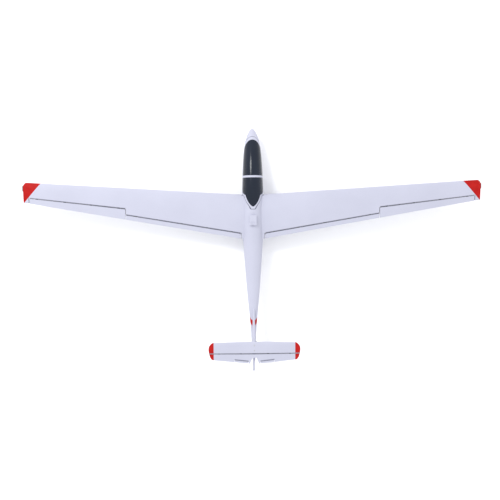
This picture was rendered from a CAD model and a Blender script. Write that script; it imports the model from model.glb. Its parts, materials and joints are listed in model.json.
import json
import math
import bpy
import bmesh
from mathutils import Matrix, Vector


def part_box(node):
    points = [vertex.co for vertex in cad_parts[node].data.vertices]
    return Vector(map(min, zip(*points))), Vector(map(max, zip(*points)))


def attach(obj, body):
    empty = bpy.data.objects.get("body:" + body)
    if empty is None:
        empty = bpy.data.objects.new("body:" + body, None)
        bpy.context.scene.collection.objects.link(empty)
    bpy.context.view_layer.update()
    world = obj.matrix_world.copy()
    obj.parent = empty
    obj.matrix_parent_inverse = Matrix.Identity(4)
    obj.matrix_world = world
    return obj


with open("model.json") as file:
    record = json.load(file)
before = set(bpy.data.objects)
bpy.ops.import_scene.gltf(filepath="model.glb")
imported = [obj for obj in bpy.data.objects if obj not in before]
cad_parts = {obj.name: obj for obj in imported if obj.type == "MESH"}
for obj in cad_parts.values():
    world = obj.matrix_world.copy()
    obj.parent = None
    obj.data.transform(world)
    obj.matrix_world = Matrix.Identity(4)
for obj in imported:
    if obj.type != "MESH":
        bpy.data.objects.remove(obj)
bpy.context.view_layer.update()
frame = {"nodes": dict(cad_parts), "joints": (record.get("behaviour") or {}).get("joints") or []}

# A foam glider with a T-tail. All places are in metres, in the CAD's frame: +X is the glider's
# left, +Y its tail and +Z up, and it stands on the floor at height 0. A "span" is a distance
# from the middle plane, to either side.
NODES = frame["nodes"]
LENGTH = 1.086


def station(behind_nose):
    """The Y of a place, from its distance behind the nose."""
    return behind_nose - LENGTH / 2


# ------------------------------------------------------------------ camera
# where the photo was taken from, fitted to points that can be seen in it
CAMERA_PLACE = (0.0773, -0.1522, 3.6039)
CAMERA_BACK = (0.01805, -0.04306, 0.99891)
CAMERA_RIGHT = (-0.9998, 0.00738, 0.01839)
CAMERA_ANGLE = math.radians(35.27)
CAMERA_FAR = 30


def make_camera():
    """Looks almost straight down, with the nose at the top of the picture."""
    data = bpy.data.cameras.new("camera")
    camera = bpy.data.objects.new("camera", data)
    bpy.context.scene.collection.objects.link(camera)
    back = Vector(CAMERA_BACK).normalized()
    right = Vector(CAMERA_RIGHT)
    right = (right - back * right.dot(back)).normalized()
    up = back.cross(right)
    turn = Matrix((right, up, back)).transposed()
    camera.matrix_world = Matrix.Translation(CAMERA_PLACE) @ turn.to_4x4()
    data.angle = CAMERA_ANGLE
    data.clip_end = CAMERA_FAR
    bpy.context.scene.camera = camera


# ------------------------------------------------------------------ material tools
def grey(value):
    return (value,) * 3


class Paint:
    """A material with a few helpers, so that each recipe stays short."""

    def __init__(self, name, color, roughness=0.5, metallic=0.0, specular=0.5):
        self.material = bpy.data.materials.new(name)
        self.material.use_nodes = True
        self.tree = self.material.node_tree
        self.shader = self.tree.nodes["Principled BSDF"]
        self.shader.inputs["Base Color"].default_value = (*color, 1)
        self.shader.inputs["Roughness"].default_value = roughness
        self.shader.inputs["Metallic"].default_value = metallic
        self.shader.inputs["Specular IOR Level"].default_value = specular
        self.place = self.node("ShaderNodeTexCoord").outputs["Object"]

    def node(self, kind, **settings):
        made = self.tree.nodes.new(kind)
        for key, value in settings.items():
            setattr(made, key, value)
        return made

    def put(self, socket, value):
        """Sets a number or a colour on a socket, or links another node's output to it."""
        if isinstance(value, tuple):
            socket.default_value = (*value, 1)
        elif isinstance(value, (int, float)):
            socket.default_value = value
        else:
            self.tree.links.new(value, socket)

    def feed(self, name, value):
        """Drives one of the shader's own sockets."""
        self.put(self.shader.inputs[name], value)

    def noise(self, scale, detail=3.0, stretch=(1, 1, 1)):
        """Clouds, finer along an axis where stretch is larger."""
        mapping = self.node("ShaderNodeMapping")
        mapping.inputs["Scale"].default_value = stretch
        self.put(mapping.inputs["Vector"], self.place)
        made = self.node("ShaderNodeTexNoise")
        made.inputs["Scale"].default_value = scale
        made.inputs["Detail"].default_value = detail
        self.put(made.inputs["Vector"], mapping.outputs["Vector"])
        return made.outputs["Fac"]

    def cells(self, scale):
        """Distance from the middle of the nearest cell."""
        made = self.node("ShaderNodeTexVoronoi")
        made.inputs["Scale"].default_value = scale
        self.put(made.inputs["Vector"], self.place)
        return made.outputs["Distance"]

    def bands(self, scale, direction, distortion=0.0):
        made = self.node("ShaderNodeTexWave", wave_type="BANDS", bands_direction=direction)
        made.inputs["Scale"].default_value = scale
        made.inputs["Distortion"].default_value = distortion
        self.put(made.inputs["Vector"], self.place)
        return made.outputs["Fac"]

    def ramp(self, source, *stops):
        """Turns a value into a colour, by stops of (value, colour)."""
        made = self.node("ShaderNodeValToRGB")
        for element, (position, color) in zip(made.color_ramp.elements, stops):
            element.position = position
            element.color = (*color, 1)
        self.put(made.inputs["Fac"], source)
        return made.outputs["Color"]

    def math(self, operation, *values):
        made = self.node("ShaderNodeMath", operation=operation)
        for socket, value in zip(made.inputs, values):
            self.put(socket, value)
        return made.outputs["Value"]

    def mix(self, factor, first, second, blend="MIX"):
        made = self.node("ShaderNodeMix", data_type="RGBA", blend_type=blend)
        inputs = {socket.identifier: socket for socket in made.inputs}
        for name, value in (("Factor_Float", factor), ("A_Color", first), ("B_Color", second)):
            self.put(inputs[name], value)
        return next(socket for socket in made.outputs if socket.identifier == "Result_Color")

    def bump(self, height, strength, distance):
        made = self.node("ShaderNodeBump")
        made.inputs["Strength"].default_value = strength
        made.inputs["Distance"].default_value = distance
        self.put(made.inputs["Height"], height)
        self.feed("Normal", made.outputs["Normal"])

    def split(self, source):
        made = self.node("ShaderNodeSeparateXYZ")
        self.put(made.inputs["Vector"], source)
        return made.outputs["X"], made.outputs["Y"], made.outputs["Z"]

    def where(self):
        """The span of a point, its place along the glider and its height."""
        x, y, z = self.split(self.place)
        return self.math("ABSOLUTE", x), y, z

    def facing(self):
        """How far the surface faces sideways, to either side, and how far aft."""
        x, y, _ = self.split(self.node("ShaderNodeTexCoord").outputs["Normal"])
        return self.math("ABSOLUTE", x), y


# Masks are 1 where a colour goes and 0 elsewhere.
def above(paint, value, limit):
    return paint.math("GREATER_THAN", value, limit)


def below(paint, value, limit):
    return paint.math("LESS_THAN", value, limit)


def between(paint, value, limits):
    low, high = limits
    return paint.math("MULTIPLY", above(paint, value, low), below(paint, value, high))


def both(paint, *masks):
    joined = masks[0]
    for mask in masks[1:]:
        joined = paint.math("MULTIPLY", joined, mask)
    return joined


def either(paint, *masks):
    joined = masks[0]
    for mask in masks[1:]:
        joined = paint.math("MAXIMUM", joined, mask)
    return joined


# ------------------------------------------------------------------ materials
FOAM_LIGHT = (0.502, 0.508, 0.602)
FOAM_SHADE = (0.482, 0.488, 0.58)
BEAD_MIDDLE = (1, 1, 1)
BEAD_BORDER = (0.95, 0.95, 0.96)
RED = (0.36, 0.004, 0.003)
WORN_RED = (0.44, 0.009, 0.007)
GROOVE = (0.15, 0.155, 0.2)
EDGE_LINE = (0.24, 0.245, 0.31)


def foam(name, paint_mask=None, groove_mask=None, line_mask=None):
    """Moulded bead foam: faintly pebbled and clouded, with red paint, edge lines and grooves."""
    paint = Paint(name, FOAM_LIGHT, roughness=0.55, specular=0.16)
    beads = paint.cells(scale=330)
    tint = paint.ramp(paint.noise(scale=7), (0.35, FOAM_SHADE), (0.65, FOAM_LIGHT))
    borders = paint.ramp(beads, (0.0, BEAD_MIDDLE), (0.8, BEAD_BORDER))
    color = paint.mix(0.7, tint, borders, "MULTIPLY")
    if paint_mask:
        red = paint.ramp(paint.noise(scale=45, detail=4), (0.3, RED), (0.7, WORN_RED))
        color = paint.mix(paint_mask(paint), color, red)
    if line_mask:
        color = paint.mix(line_mask(paint), color, EDGE_LINE)
    if groove_mask:
        color = paint.mix(groove_mask(paint), color, GROOVE)
    paint.feed("Base Color", color)
    paint.feed("Roughness", paint.ramp(paint.noise(scale=60), (0.3, grey(0.5)), (0.7, grey(0.62))))
    paint.bump(beads, strength=0.1, distance=0.0004)
    return paint.material


def canopy_tint(name):
    """Dark glossy glazing with very fine polishing marks."""
    paint = Paint(name, (0.006, 0.011, 0.02), roughness=0.16, specular=0.25)
    smear = paint.noise(scale=14, detail=4, stretch=(1, 0.25, 1))
    paint.feed("Roughness", paint.ramp(smear, (0.3, grey(0.13)), (0.75, grey(0.22))))
    tone = paint.ramp(smear, (0.3, (0.005, 0.009, 0.018)), (0.7, (0.009, 0.014, 0.027)))
    paint.feed("Base Color", tone)
    return paint.material


def plastic(name, color, roughness, grain_scale):
    """Moulded nylon, a moulded case or soft rubber, with a fine grain and paler where worn."""
    paint = Paint(name, color, roughness)
    grain = paint.noise(scale=grain_scale, detail=2)
    smooth, rough = grey(roughness - 0.06), grey(roughness + 0.08)
    paint.feed("Roughness", paint.ramp(grain, (0.3, smooth), (0.7, rough)))
    worn = tuple(min(1, part * 1.25 + 0.004) for part in color)
    tone = paint.ramp(paint.noise(scale=70, detail=4), (0.35, color), (0.75, worn))
    paint.feed("Base Color", tone)
    paint.bump(grain, strength=0.06, distance=0.0003)
    return paint.material


def steel(name):
    paint = Paint(name, (0.5, 0.5, 0.52), roughness=0.3, metallic=1.0)
    grain = paint.noise(scale=500, stretch=(1, 8, 8))
    paint.feed("Roughness", paint.ramp(grain, (0.3, grey(0.22)), (0.7, grey(0.38))))
    paint.bump(grain, strength=0.04, distance=0.0002)
    return paint.material


def carbon(name):
    """Carbon tube with slanted bands of dark tows."""
    paint = Paint(name, (0.02, 0.02, 0.022), roughness=0.3)
    weave = paint.bands(scale=320, direction="DIAGONAL", distortion=0.4)
    paint.feed("Base Color", paint.ramp(weave, (0.2, grey(0.012)), (0.8, (0.04, 0.04, 0.044))))
    paint.bump(weave, strength=0.1, distance=0.0003)
    return paint.material


def plywood(name):
    paint = Paint(name, (0.5, 0.33, 0.18), roughness=0.6)
    grain = paint.noise(scale=40, detail=6, stretch=(8, 0.6, 8))
    tone = paint.ramp(grain, (0.3, (0.36, 0.22, 0.11)), (0.7, (0.58, 0.4, 0.23)))
    paint.feed("Base Color", tone)
    paint.bump(grain, strength=0.12, distance=0.0004)
    return paint.material


def rubber(name):
    """Tyre rubber, matt and dusty, with fine ribs that run round the tread."""
    paint = Paint(name, (0.013, 0.013, 0.014), roughness=0.8)
    ribs = paint.bands(scale=260, direction="X")
    clouds = paint.noise(scale=120, detail=4)
    dusty = paint.ramp(clouds, (0.35, grey(0.012)), (0.7, (0.035, 0.034, 0.032)))
    paint.feed("Base Color", dusty)
    paint.bump(ribs, strength=0.5, distance=0.0008)
    return paint.material


# ------------------------------------------------------------------ painted areas
# the wing's red starts at a line through this span and place, which runs outward towards the tail
TIP_SPAN, TIP_PLACE, TIP_SLOPE = 0.925, -0.301, 0.86
TAIL_RED_SPAN = 0.1765
# the fin's red band: where its edges are at the level, how far aft they run per metre of height,
# and the heights between which it shows
BAND_STATIONS, BAND_LEVEL, BAND_SLOPE = (0.848, 0.873), 0.11, 1.26
BAND_HEIGHTS = (0.096, 0.124)

# a wall is dark when its normal points sideways, aft or forward by more than this
SIDE_WALL, AFT_WALL, FORWARD_WALL = 0.9, 0.8, -0.5
WING_CUT_SPANS = (0.052, 0.98)
# hinge walls of the tail lie in front of a line at this place in the middle, with this slope
TAB_ROOM_PLACE, TAB_ROOM_SLOPE = 0.4845, 0.105
TAB_END_PLACE, TAB_END_SPANS = 0.4705, (0.0255, 0.088)

# lines along a hinge: how far forward each runs per metre of span, its edges, and its two ends
FLAP_LINE = (0.16789, (-0.0707, -0.0680), (0.052, 0.5615))
AILERON_LINE = (0.11474, (-0.1273, -0.1246), (0.5590, 0.9775))
STABILIZER_LINE = (0.0, (0.4398, 0.4418), (0.0, 0.2))
TAB_LINE = (0.11207, (0.4754, 0.4792), (0.0256, 0.0864))

# the edge of the canopy hatch from the side, as distances behind the nose and heights
HATCH_EDGE = [
    (0.0, 0.0903),
    (0.0373, 0.0903),
    (0.080, 0.0668),
    (0.287, 0.0788),
    (0.303, 0.1205),
    (0.326, 0.1315),
    (0.339, 0.1375),
    (0.349, 0.1403),
    (0.360, 0.1414),
    (0.4, 0.1414),
]
# the length and height that a float curve's 0 to 1 stand for
CURVE_LENGTH, CURVE_HEIGHT = 0.4, 0.2
HATCH_LINE_DEPTHS = (-0.0004, 0.0013)
HATCH_LINE_STATIONS = (0.036, 0.3602)
HATCH_REAR_STATIONS, HATCH_REAR_HEIGHT = (0.3590, 0.3614), 0.1406


def tip_mask(paint):
    """A straight colour edge from the leading edge to the rear corner of each wing tip."""
    span, along, _ = paint.where()
    line = paint.math("ADD", span, paint.math("MULTIPLY", along, -TIP_SLOPE))
    return above(paint, line, TIP_SPAN - TIP_PLACE * TIP_SLOPE)


def tail_mask(paint):
    span, _, _ = paint.where()
    return above(paint, span, TAIL_RED_SPAN)


def fin_mask(paint):
    """A slanted red band on both sides of the fin's foot."""
    _, along, height = paint.where()
    slanted = paint.math("SUBTRACT", along, paint.math("MULTIPLY", height, BAND_SLOPE))
    edges = [station(edge) - BAND_SLOPE * BAND_LEVEL for edge in BAND_STATIONS]
    return both(paint, between(paint, slanted, edges), between(paint, height, BAND_HEIGHTS))


def wing_groove(paint):
    """The walls of the cuts behind the wing, shaded as they are inside a narrow gap."""
    span, _, _ = paint.where()
    side, aft = paint.facing()
    walls = either(paint, above(paint, side, SIDE_WALL), above(paint, aft, AFT_WALL))
    return both(paint, between(paint, span, WING_CUT_SPANS), walls)


def surface_groove(paint):
    """The V nose and the ends of a hinged surface."""
    side, aft = paint.facing()
    return either(paint, above(paint, side, SIDE_WALL), below(paint, aft, FORWARD_WALL))


def tail_groove(paint):
    """The hinge walls of the stabilizer and the front wall of the room for the tabs."""
    span, along, _ = paint.where()
    _, aft = paint.facing()
    line = paint.math("ADD", along, paint.math("MULTIPLY", span, TAB_ROOM_SLOPE))
    return both(paint, above(paint, aft, AFT_WALL), below(paint, line, TAB_ROOM_PLACE))


def elevator_groove(paint):
    """The same walls on the elevator, its V nose and the walls beside the tabs."""
    span, along, _ = paint.where()
    side, aft = paint.facing()
    tab_ends = both(
        paint,
        above(paint, side, SIDE_WALL),
        above(paint, along, TAB_END_PLACE),
        between(paint, span, TAB_END_SPANS),
    )
    return either(paint, tail_groove(paint), below(paint, aft, FORWARD_WALL), tab_ends)


def hinge_line(paint, slope, edges, ends):
    """A band along a slanted line in plan, between two spans."""
    span, along, _ = paint.where()
    line = paint.math("ADD", along, paint.math("MULTIPLY", span, slope))
    return both(paint, between(paint, line, edges), between(paint, span, ends))


def wing_lines(paint):
    """The soft lip of the wing in front of its flaps and ailerons."""
    return either(paint, hinge_line(paint, *FLAP_LINE), hinge_line(paint, *AILERON_LINE))


def stabilizer_line(paint):
    return hinge_line(paint, *STABILIZER_LINE)


def tab_lines(paint):
    """Grey tape over the hinges of the two trim tabs."""
    return hinge_line(paint, *TAB_LINE)


def hatch_line(paint):
    """The shaded gap below the canopy: its side outline as a curve of height over length."""
    _, along, height = paint.where()
    curve = paint.node("ShaderNodeFloatCurve")
    points = curve.mapping.curves[0].points
    while len(points) < len(HATCH_EDGE):
        points.new(0.5, 0.5)
    for point, (behind_nose, level) in zip(points, HATCH_EDGE):
        point.location = (behind_nose / CURVE_LENGTH, level / CURVE_HEIGHT)
        point.handle_type = "VECTOR"
    curve.mapping.update()
    behind_nose = paint.math("ADD", along, LENGTH / 2)
    paint.put(curve.inputs["Value"], paint.math("MULTIPLY", behind_nose, 1 / CURVE_LENGTH))
    edge = paint.math("MULTIPLY", curve.outputs["Value"], CURVE_HEIGHT)
    depth = paint.math("SUBTRACT", edge, height)
    side = both(
        paint,
        between(paint, depth, HATCH_LINE_DEPTHS),
        between(paint, along, [station(end) for end in HATCH_LINE_STATIONS]),
    )
    rear = both(
        paint,
        between(paint, along, [station(end) for end in HATCH_REAR_STATIONS]),
        above(paint, height, HATCH_REAR_HEIGHT),
    )
    return either(paint, side, rear)


# ------------------------------------------------------------------ finishes of the CAD nodes
# the masks of each foam: for red paint, for grooves and for edge lines
FOAMS = {
    "wing_foam": (tip_mask, wing_groove, wing_lines),
    "surface_foam": (tip_mask, surface_groove),
    "stabilizer_foam": (tail_mask, tail_groove, stabilizer_line),
    "elevator_foam": (tail_mask, elevator_groove, tab_lines),
    "tab_foam": (None, surface_groove),
    "rudder_foam": (),
    "body_foam": (fin_mask, hatch_line),
    "canopy_foam": (),
}
# the colour, roughness and grain scale of each
PLASTICS = {
    "white_nylon": ((0.6, 0.6, 0.63), 0.4, 900),
    "black_nylon": ((0.02, 0.02, 0.022), 0.5, 900),
    "seal_strip": ((0.12, 0.12, 0.15), 0.6, 900),
    "servo_case": ((0.012, 0.02, 0.045), 0.3, 900),
    "battery_wrap": ((0.03, 0.07, 0.2), 0.25, 300),
    "receiver_case": ((0.03, 0.03, 0.034), 0.35, 900),
    "hub_nylon": ((0.5, 0.5, 0.52), 0.4, 900),
    "lead_weight": ((0.16, 0.16, 0.17), 0.45, 200),
    "tail_wheel_rubber": ((0.014, 0.014, 0.015), 0.75, 500),
}
NODE_FINISHES = {
    "wing_foam": ["wing_left", "wing_right"],
    "surface_foam": ["aileron_left", "aileron_right", "flap_left", "flap_right"],
    "stabilizer_foam": ["stabilizer"],
    "elevator_foam": ["elevator"],
    "tab_foam": ["trim_tab_left", "trim_tab_right"],
    "rudder_foam": ["rudder"],
    "body_foam": ["fuselage_left", "fuselage_right"],
    "canopy_foam": ["canopy_frame", "top_cover", "wing_root_ribs"],
    "canopy_tint": ["canopy_glass_front", "canopy_glass_rear"],
    "black_nylon": ["hinge_leaves", "wingtip_skids"],
    "servo_case": ["wing_servos", "tail_servos"],
    "battery_wrap": ["battery_pack"],
    "receiver_case": ["receiver"],
    "hub_nylon": ["main_hub", "nose_hub"],
    "lead_weight": ["nose_ballast"],
    "steel": ["stabilizer_screws", "wheel_axles", "tow_hook", "canopy_magnets", "fuselage_magnets"],
    "carbon": ["spar_tube_left", "spar_tube_right", "wing_joiner"],
    "plywood": ["cockpit_tray"],
    "rubber": ["main_tyre", "nose_tyre"],
    "tail_wheel_rubber": ["tail_wheel"],
}
# the parts of every linkage, by the end of their names
LINKAGE_FINISHES = {"_pushrod": "steel", "_servo_arm": "white_nylon", "_fittings": "black_nylon"}


def make_finishes():
    """Every finish, by its name."""
    finish = {name: foam(name, *masks) for name, masks in FOAMS.items()}
    finish.update({name: plastic(name, *look) for name, look in PLASTICS.items()})
    finish["canopy_tint"] = canopy_tint("canopy_tint")
    finish["steel"] = steel("steel")
    finish["carbon"] = carbon("carbon")
    finish["plywood"] = plywood("plywood")
    finish["rubber"] = rubber("rubber")
    return finish


def paint_nodes(finish):
    """Gives every CAD node its finish."""
    chosen = {node: name for name, nodes in NODE_FINISHES.items() for node in nodes}
    for node in NODES:
        for ending, name in LINKAGE_FINISHES.items():
            if node.endswith(ending):
                chosen[node] = name
    for node, name in chosen.items():
        materials = NODES[node].data.materials
        materials.clear()
        materials.append(finish[name])


# ------------------------------------------------------------------ mesh tools
SHARP_EDGE = math.radians(35)
TURN_STEPS = 16
# the outline of a domed screw head with a driver recess, as shares of its radius and height
SCREW_HEAD = [(1, 0), (1, 0.45), (0.85, 0.85), (0.5, 1), (0.42, 1), (0.38, 0.5)]
# the faces of a box whose corners are counted first to last, then front to rear, then low to high
BOX_FACES = ((0, 1, 3, 2), (4, 6, 7, 5), (0, 4, 5, 1), (2, 3, 7, 6), (1, 5, 7, 3), (0, 2, 6, 4))


def new_piece(name, build, material, body):
    """Turns a bmesh into a smooth-shaded piece that moves with a CAD body."""
    mesh = bpy.data.meshes.new(name)
    bmesh.ops.recalc_face_normals(build, faces=build.faces)
    build.to_mesh(mesh)
    build.free()
    mesh.materials.append(material)
    for face in mesh.polygons:
        face.use_smooth = True
    mesh.set_sharp_from_angle(angle=SHARP_EDGE)
    piece = bpy.data.objects.new(name, mesh)
    bpy.context.scene.collection.objects.link(piece)
    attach(piece, body)


def turned(build, profile, place, axis):
    """Adds a closed profile of (radius, distance along the axis) turned about an axis."""
    turn = Vector((0, 0, 1)).rotation_difference(Vector(axis)).to_matrix()
    rings = []
    for radius, along in profile:
        ring = []
        for step in range(TURN_STEPS):
            angle = 2 * math.pi * step / TURN_STEPS
            point = Vector((radius * math.cos(angle), radius * math.sin(angle), along))
            ring.append(build.verts.new(Vector(place) + turn @ point))
        rings.append(ring)
    for first, second in zip(rings, rings[1:]):
        for step in range(TURN_STEPS):
            after = (step + 1) % TURN_STEPS
            build.faces.new((first[step], first[after], second[after], second[step]))
    build.faces.new(rings[0])
    build.faces.new(rings[-1])


def screw_profile(radius, height):
    return [(radius * out, height * up) for out, up in SCREW_HEAD]


def block(build, low, high, edge):
    """Adds a rounded box between two corners."""
    made = bmesh.ops.create_cube(build, size=1)["verts"]
    for vert in made:
        for axis in range(3):
            middle, size = (low[axis] + high[axis]) / 2, high[axis] - low[axis]
            vert.co[axis] = middle + vert.co[axis] * size
    edges = {side for vert in made for side in vert.link_edges}
    bmesh.ops.bevel(build, geom=list(edges), offset=edge, segments=3, affect="EDGES", profile=0.5)


def ribbon(build, first, last, front, rear, half):
    """Adds a flat strip along a line, reaching in front of it and behind it."""
    corners = []
    for place in (first, last):
        for along in (front, rear):
            for up in (-half, half):
                corners.append(build.verts.new(place + Vector((0, along, up))))
    for face in BOX_FACES:
        build.faces.new([corners[corner] for corner in face])


# ------------------------------------------------------------------ small pieces added to the CAD
# hinges on the left: the ends of each axis, and the middles of its leaves along it
HINGES = {
    "aileron": (
        (0.561, -0.1885, 0.13296),
        (0.975, -0.2361, 0.15361),
        (0.03, 0.15, 0.265, 0.385),
    ),
    "flap": (
        (0.0545, -0.0767, 0.1056),
        (0.559, -0.1614, 0.13181),
        (0.04, 0.15, 0.265, 0.375, 0.47),
    ),
    "elevator": (
        (0.0, 0.443, 0.222),
        (0.199, 0.443, 0.222),
        (0.059, 0.154),
    ),
}
# a seal keeps clear of the ends of its axis and of each leaf, and lies just in front of the axis
SEAL_END, LEAF_HALF = 0.0015, 0.0078
SEAL_FRONT, SEAL_REAR, SEAL_HALF = -0.00145, -0.0002, 0.0002

# seals in the gaps at the ends of the surfaces: spans, front, rear and height of each
END_GAPS = {
    "flap root, rear": (0.0516, 0.0538, -0.0765, -0.0685, 0.1046),
    "flap root, front": (0.0516, 0.0528, -0.0690, -0.0522, 0.1046),
    "flap to aileron": (0.5588, 0.5600, -0.1870, -0.1635, 0.1325),
    "aileron tip": (0.9753, 0.9772, -0.2350, -0.2160, 0.1532),
}
END_SEAL_BELOW, END_SEAL_ABOVE, END_SEAL_EDGE = 0.002, 0.001, 0.0002

# tape under the hinge of the left tab: its two ends, how far it reaches in front of and behind the
# line between them, and half its thickness
TAPE_ENDS = ((0.0256, 0.47766, 0.22005), (0.0864, 0.47085, 0.22005))
TAPE_FRONT, TAPE_REAR, TAPE_HALF = -0.0013, 0.0006, 0.00012

# each hub's axle place and height, half its width, and the radius of its bolt circle
WHEELS = {
    "main": (station(0.372), 0.025, 0.0065, 0.0078),
    "nose": (station(0.140), 0.018, 0.0045, 0.0055),
}
# how many bolts a face has, where the first is, its radius as a share of the circle, its height,
# and how deep its foot is in the hub
BOLTS, BOLT_TURN, BOLT_SHARE, BOLT_HEIGHT, BOLT_SUNK = 5, 0.3, 0.14, 0.0007, 0.0006

ARM_SCREW_RADIUS, ARM_SCREW_HEIGHT, ARM_SCREW_OUT = 0.0013, 0.0007, 0.0008
# radius and distance along the axis of the small collar that holds a wire in its hole
KEEPER = [
    (0.0009, -0.0016),
    (0.0014, -0.00155),
    (0.0015, -0.0013),
    (0.0015, -0.00105),
    (0.0009, -0.001),
]

# the strap: half its width, its thickness at the sides and on top, and how far the sides reach up
STRAP_HALF, STRAP_THICK, STRAP_TOP, STRAP_OVERLAP = 0.009, 0.0012, 0.0011, 0.0008
STRAP_TOP_EDGE, STRAP_SIDE_EDGE = 0.0004, 0.0003
# the row of plugs, from the receiver's front, and each plug's sides, from the receiver's right
PLUGS, PLUG_START, PLUG_PITCH, PLUG_WIDTH = 6, 0.0035, 0.0033, 0.0024
PLUG_INNER, PLUG_OUTER, PLUG_HEIGHT, PLUG_EDGE = 0.002, 0.0105, 0.0024, 0.0003


def hinge_seals(finish):
    """Dark seals deep inside the hinge gaps of the wings and the tail, between the leaves."""
    build = bmesh.new()
    for start, end, leaves in HINGES.values():
        start, end = Vector(start), Vector(end)
        reach = (end - start).length
        leaf_sides = [leaf + side for leaf in leaves for side in (-LEAF_HALF, LEAF_HALF)]
        stops = [SEAL_END, *leaf_sides, reach - SEAL_END]
        for stop_pair in zip(stops[0::2], stops[1::2]):
            for side in (-1, 1):
                ends = [start + (end - start) * (stop / reach) for stop in stop_pair]
                ends = [Vector((side * place.x, place.y, place.z)) for place in ends]
                ribbon(build, *ends, SEAL_FRONT, SEAL_REAR, SEAL_HALF)
    new_piece("hinge_seals", build, finish["seal_strip"], "airframe")


def end_seals(finish):
    build = bmesh.new()
    for inner, outer, front, rear, level in END_GAPS.values():
        for side in (-1, 1):
            first, last = sorted((side * inner, side * outer))
            low = (first, front, level - END_SEAL_BELOW)
            high = (last, rear, level + END_SEAL_ABOVE)
            block(build, low, high, END_SEAL_EDGE)
    new_piece("end_seals", build, finish["black_nylon"], "airframe")


def tab_tape(finish):
    build = bmesh.new()
    for side in (-1, 1):
        ends = [Vector((side * x, y, z)) for x, y, z in TAPE_ENDS]
        ribbon(build, *ends, TAPE_FRONT, TAPE_REAR, TAPE_HALF)
    new_piece("tab_tape", build, finish["seal_strip"], "elevator")


def wheel_details(finish):
    """A ring of bolts on both faces of each hub."""
    for wheel, (along, height, half, circle) in WHEELS.items():
        build = bmesh.new()
        bolt = screw_profile(circle * BOLT_SHARE, BOLT_HEIGHT)
        for side in (-1, 1):
            for step in range(BOLTS):
                angle = 2 * math.pi * step / BOLTS + BOLT_TURN
                place = (
                    side * (half - BOLT_SUNK),
                    along + circle * math.cos(angle),
                    height + circle * math.sin(angle),
                )
                turned(build, bolt, place, (side, 0, 0))
        new_piece(f"{wheel}_hub_bolts", build, finish["steel"], f"{wheel}_wheel")


def linkage_details(finish):
    """A screw in the hub of each servo arm, and a keeper on each bent end of each wire."""
    joints = {joint["name"]: joint for joint in frame["joints"]}
    for name, joint in joints.items():
        if not name.endswith("_servo_arm"):
            continue
        surface = name[: -len("_servo_arm")]
        pivot, axis = Vector(joint["pos_m"]), Vector(joint["axis"]).normalized()
        if surface.endswith("right"):
            axis = -axis
        build = bmesh.new()
        screw = screw_profile(ARM_SCREW_RADIUS, ARM_SCREW_HEIGHT)
        turned(build, screw, pivot + axis * ARM_SCREW_OUT, axis)
        new_piece(f"{surface}_arm_screw", build, finish["steel"], joint["child"])
        rod = joints[f"{surface}_pushrod"]
        arm_end = Vector(rod["pos_m"])
        hinge = Vector(joints[f"{surface}_hinge"]["pos_m"])
        hinge += axis * (pivot - hinge).dot(axis)
        build = bmesh.new()
        for place in (arm_end, arm_end + hinge - pivot):
            turned(build, KEEPER, place, axis)
        new_piece(f"{surface}_wire_keepers", build, finish["black_nylon"], rod["child"])


def cockpit_details(finish):
    """A strap round the battery, and a row of plugs on the receiver."""
    low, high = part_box("battery_pack")
    middle = (low.y + high.y) / 2
    front, rear = middle - STRAP_HALF, middle + STRAP_HALF
    outer = high.x + STRAP_THICK
    build = bmesh.new()
    corner = (low.x - STRAP_THICK, front, high.z)
    block(build, corner, (outer, rear, high.z + STRAP_TOP), STRAP_TOP_EDGE)
    for side in (-1, 1):
        first, last = sorted((side * high.x, side * outer))
        corner = (first, front, low.z)
        block(build, corner, (last, rear, high.z + STRAP_OVERLAP), STRAP_SIDE_EDGE)
    new_piece("battery_strap", build, finish["black_nylon"], "airframe")
    low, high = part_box("receiver")
    build = bmesh.new()
    for row in range(PLUGS):
        along = low.y + PLUG_START + row * PLUG_PITCH
        corner = (low.x + PLUG_INNER, along, high.z)
        far_corner = (low.x + PLUG_OUTER, along + PLUG_WIDTH, high.z + PLUG_HEIGHT)
        block(build, corner, far_corner, PLUG_EDGE)
    new_piece("receiver_plugs", build, finish["black_nylon"], "airframe")


# ------------------------------------------------------------------ floor and light
FLOOR_COLOR, FLOOR_HALF = (0.97, 0.97, 0.975), 12
SKY_COLOR, SKY_STRENGTH = (0.97, 0.98, 1.0), 1.2
KEY_PLACE, KEY_TARGET = (1.8, -2.05, 3.2), (0, 0, 0.1)
KEY_SIZE, KEY_POWER = (1.1, 0.9), 62


def make_floor():
    mesh = bpy.data.meshes.new("floor")
    build = bmesh.new()
    bmesh.ops.create_grid(build, x_segments=1, y_segments=1, size=FLOOR_HALF)
    build.to_mesh(mesh)
    build.free()
    floor = bpy.data.objects.new("floor", mesh)
    bpy.context.scene.collection.objects.link(floor)
    mesh.materials.append(Paint("floor", FLOOR_COLOR, roughness=0.9).material)


def make_lights():
    """An even pale sky, and one soft key light from the front left."""
    world = bpy.data.worlds.new("studio")
    bpy.context.scene.world = world
    world.use_nodes = True
    background = world.node_tree.nodes["Background"]
    background.inputs["Color"].default_value = (*SKY_COLOR, 1)
    background.inputs["Strength"].default_value = SKY_STRENGTH
    data = bpy.data.lights.new("key", "AREA")
    data.shape = "RECTANGLE"
    data.size, data.size_y = KEY_SIZE
    data.energy = KEY_POWER
    light = bpy.data.objects.new("key", data)
    light.location = KEY_PLACE
    aim = Vector(KEY_TARGET) - Vector(KEY_PLACE)
    light.rotation_euler = aim.to_track_quat("-Z", "Y").to_euler()
    bpy.context.scene.collection.objects.link(light)


make_camera()
finish = make_finishes()
paint_nodes(finish)
for add_pieces in (hinge_seals, end_seals, tab_tape, wheel_details, linkage_details, cockpit_details):
    add_pieces(finish)
make_floor()
make_lights()
bpy.context.scene.view_settings.view_transform = "Standard"
